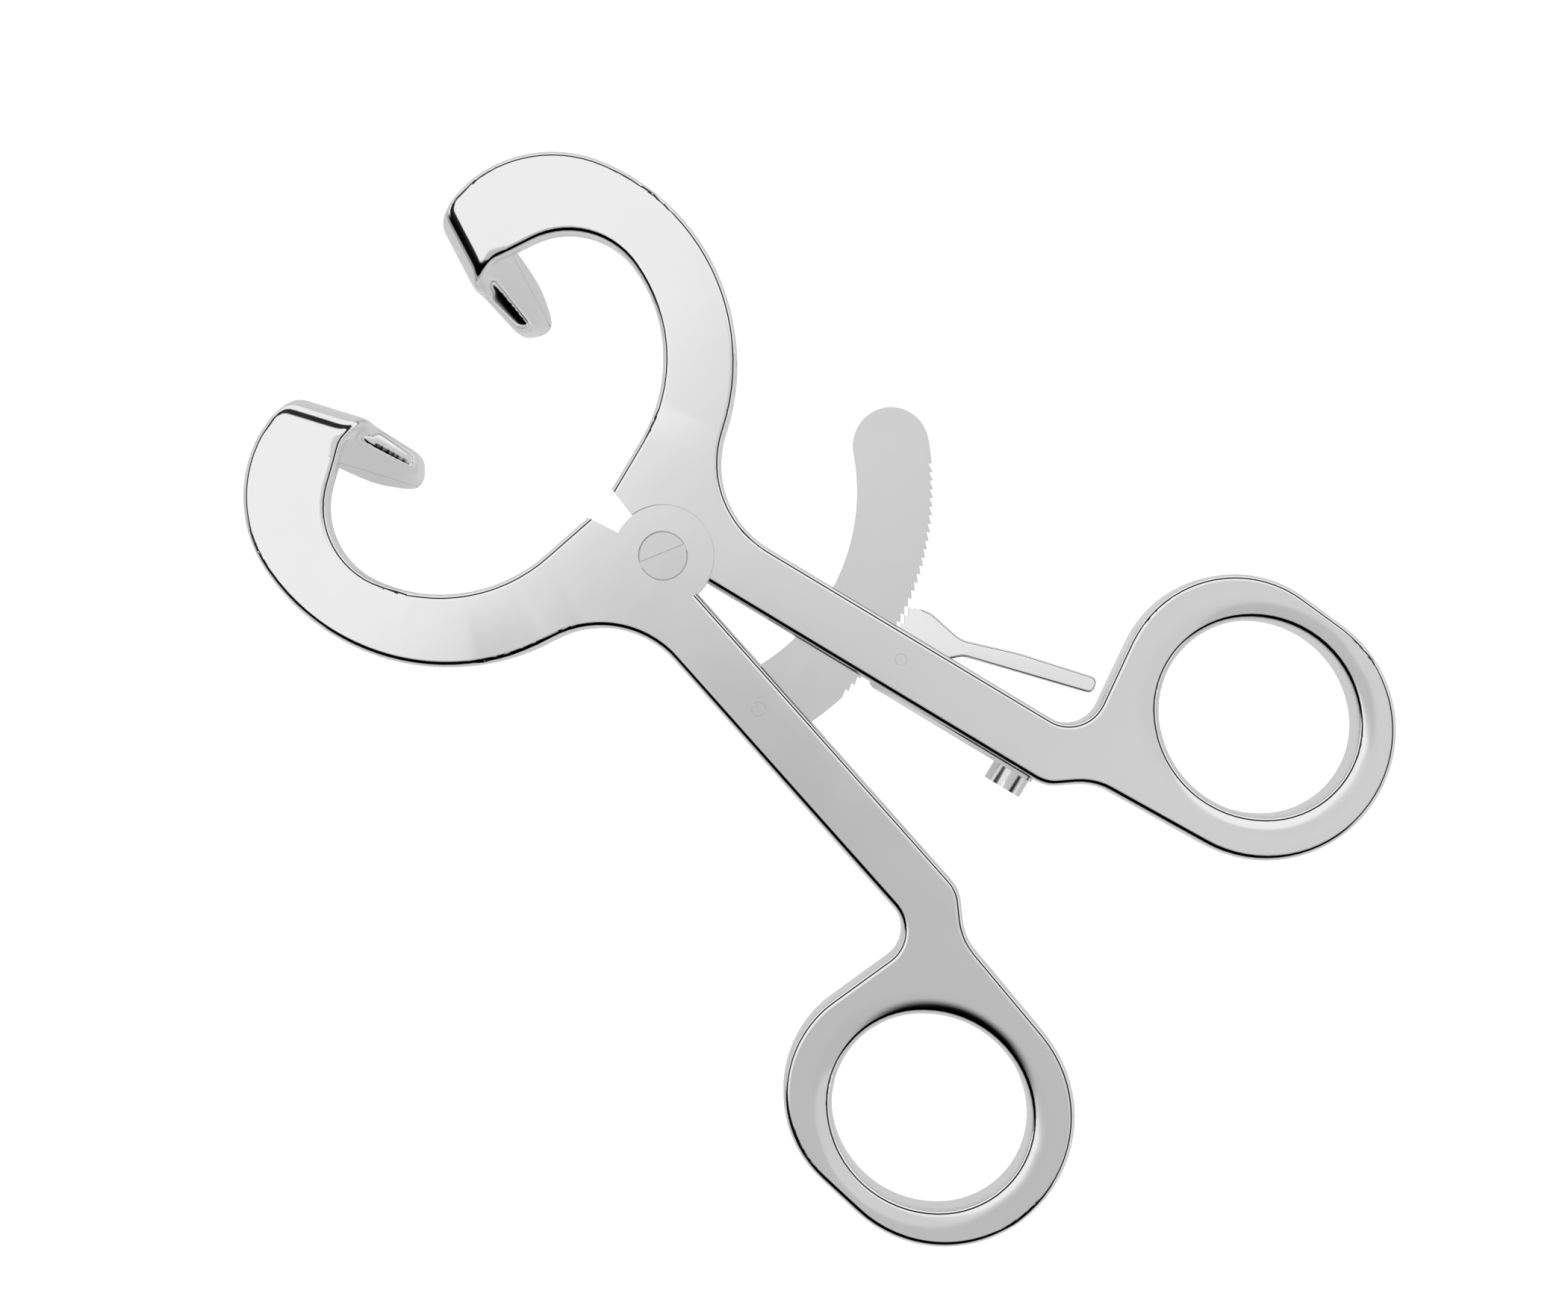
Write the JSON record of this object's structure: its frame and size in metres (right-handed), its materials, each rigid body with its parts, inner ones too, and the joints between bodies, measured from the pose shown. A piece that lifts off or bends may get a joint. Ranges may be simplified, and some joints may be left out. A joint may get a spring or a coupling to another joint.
{
  "type": "mouth gag",
  "caption": "Screw-jointed surgical mouth gag of polished steel: C-shaped jaws with folded bite plates, finger rings, curved ratchet bar and sprung release lever.",
  "frame": {"origin": "on the axis of the lap joint, in the plane of the arms' flat back", "axes": "+Y to the jaws along the symmetry line, +X to the arm with the release lever, +Z out of the front face; the bite plates fold to -Z"},
  "size_m": [0.098, 0.141, 0.0199],
  "materials": {
    "arm_steel": "polished stainless steel",
    "bar_steel": "polished stainless steel, faintly ground teeth",
    "lever_steel": "polished stainless steel",
    "spring_steel": "polished spring steel strip",
    "fastener_steel": "turned stainless steel"
  },
  "bodies": {
    "rack": {"rack_arm": "arm_steel", "bar_rivet": "fastener_steel"},
    "pawl": {"pawl_arm": "arm_steel", "joint_screw": "fastener_steel", "lever_pin": "fastener_steel", "spring_screw": "fastener_steel", "leaf_spring": "spring_steel"},
    "bar": {"ratchet_bar": "bar_steel"},
    "lever": {"release_lever": "lever_steel"}
  },
  "joints": [
    {"name": "arm_pivot", "type": "hinge", "parent": "rack", "child": "pawl", "pos_m": [0, 0, 0], "axis": [0, 0, -1], "range_deg": [-24, 13]},
    {"name": "bar_swing", "type": "hinge", "parent": "rack", "child": "bar", "pos_m": [-0.00726, -0.02203, 0.0026], "axis": [0, 0, -1], "range_deg": [-9, 5]},
    {"name": "lever_press", "type": "hinge", "parent": "pawl", "child": "lever", "pos_m": [0.0093, -0.032, 0.0026], "axis": [0, 0, -1], "range_deg": [0, 8], "stiffness_Nm_per_rad": 0.05, "deforming": ["leaf_spring"]}
  ],
  "couplings": [
    {"joint": "bar_swing", "follows": "arm_pivot", "ratio": 0.365}
  ]
}
